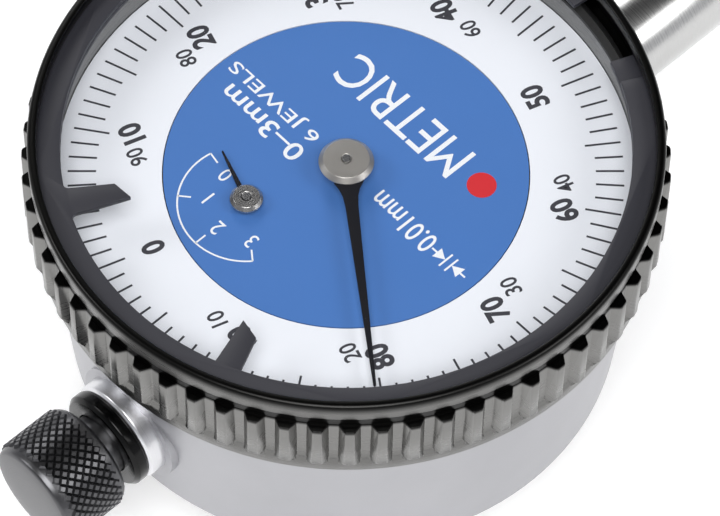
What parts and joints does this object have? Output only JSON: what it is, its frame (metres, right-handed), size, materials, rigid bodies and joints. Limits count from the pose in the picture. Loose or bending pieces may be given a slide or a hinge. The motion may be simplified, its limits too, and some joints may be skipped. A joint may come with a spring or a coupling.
{
  "type": "dial indicator",
  "caption": "Plunger dial indicator with a knurled turning bezel, two limit hands, a small turn counter, a lifting knob and a screwed-on round magnetic back.",
  "frame": {"origin": "centre of the magnetic back's pole face, on the dial's axis", "axes": "+Z out of the dial, +Y towards 12 o'clock and the lifting knob, -Y along the stem towards the contact point, +X towards 3 o'clock"},
  "size_m": [0.058, 0.1011, 0.0363],
  "materials": {
    "case_silver": "satin bead-blasted",
    "cover_silver": "satin turned",
    "plain_steel": "ground",
    "screw_steel": "machined",
    "pot_steel": "plated",
    "magnet_grey": "sintered matt",
    "brass": "machined",
    "ruby": "polished",
    "black_metal": "gloss anodised",
    "knob_black": "satin blackened",
    "bezel_black": "gloss anodised",
    "limit_black": "matt",
    "hand_black": "satin",
    "hub_steel": "turned",
    "spring_steel": "drawn wire",
    "dial_blue": "satin print",
    "scale_white": "satin print",
    "crystal_clear": "polished",
    "seal_black": "matt"
  },
  "bodies": {
    "housing": {"case": "case_silver", "back_cover": "cover_silver", "back_cover_screws": "screw_steel", "pot_shell": "pot_steel", "pot_magnet": "magnet_grey", "pot_spacer_rings": "brass", "pot_screw": "screw_steel", "stem": "plain_steel", "upper_bushing": "case_silver", "dust_collar": "black_metal", "front_plate": "brass", "rear_plate": "brass", "rack_cock": "brass", "jewels": "ruby", "pillars": "brass", "pillar_screws": "screw_steel", "movement_screws": "screw_steel", "cock_screws": "screw_steel", "guide_bracket": "brass", "guide_screws": "screw_steel", "spring_post": "plain_steel", "hairspring_stud": "plain_steel", "hairspring": "spring_steel", "return_spring": "spring_steel", "dial_carrier": "cover_silver", "centre_dial": "dial_blue"},
    "spindle": {"plunger": "plain_steel", "guide_pin": "plain_steel", "contact_point": "plain_steel", "contact_ball": "hub_steel", "lifting_knob": "knob_black"},
    "transfer": {"transfer_arbor": "plain_steel", "rack_pinion": "plain_steel", "transfer_wheel": "brass"},
    "centre": {"centre_arbor": "plain_steel", "centre_pinion": "plain_steel", "drive_pinion": "plain_steel", "pointer_hub": "hub_steel", "pointer": "hand_black"},
    "counter": {"counter_arbor": "plain_steel", "counter_wheel": "brass", "small_hub": "hub_steel", "small_pointer": "hand_black"},
    "backlash_wheel": {"hairspring_arbor": "plain_steel", "hairspring_wheel": "brass", "hairspring_collet": "brass"},
    "bezel_ring": {"bezel": "bezel_black", "bezel_snap_ring": "spring_steel", "crystal": "crystal_clear", "crystal_seal": "seal_black", "scale_ring": "scale_white"},
    "upper_limit": {"limit_hand_upper": "limit_black"},
    "lower_limit": {"limit_hand_lower": "limit_black"}
  },
  "joints": [
    {"name": "plunger_slide", "type": "slide", "parent": "housing", "child": "spindle", "axis": [0, 1, 0], "range_m": [0, 0.0035], "stiffness_N_per_m": 90, "springref_m": -0.011, "deforming": ["return_spring"]},
    {"name": "transfer_spin", "type": "hinge", "parent": "housing", "child": "transfer", "pos_m": [-0.00319, -0.01047, 0.021], "axis": [0, 0, 1], "range_deg": [0, 126.1]},
    {"name": "pointer_spin", "type": "hinge", "parent": "housing", "child": "centre", "pos_m": [0, 0, 0.022], "axis": [0, 0, -1], "range_deg": [0, 1260.1]},
    {"name": "counter_spin", "type": "hinge", "parent": "housing", "child": "counter", "pos_m": [0.00353, 0.00887, 0.0236], "axis": [0, 0, 1], "range_deg": [0, 180.1]},
    {"name": "backlash_spin", "type": "hinge", "parent": "housing", "child": "backlash_wheel", "pos_m": [-0.00654, 0.00238, 0.0222], "axis": [0, 0, 1], "range_deg": [0, 210.1]},
    {"name": "bezel_turn", "type": "hinge", "parent": "housing", "child": "bezel_ring", "pos_m": [0, 0, 0.03], "axis": [0, 0, 1], "continuous": true},
    {"name": "upper_limit_turn", "type": "hinge", "parent": "bezel_ring", "child": "upper_limit", "pos_m": [0, 0, 0.0347], "axis": [0, 0, 1], "continuous": true},
    {"name": "lower_limit_turn", "type": "hinge", "parent": "bezel_ring", "child": "lower_limit", "pos_m": [0, 0, 0.0341], "axis": [0, 0, 1], "continuous": true}
  ],
  "couplings": [
    {"joint": "transfer_spin", "follows": "plunger_slide", "rad_per_m": 628.32},
    {"joint": "pointer_spin", "follows": "plunger_slide", "rad_per_m": 6283.2},
    {"joint": "counter_spin", "follows": "plunger_slide", "rad_per_m": 897.6},
    {"joint": "backlash_spin", "follows": "plunger_slide", "rad_per_m": 1047.2}
  ]
}
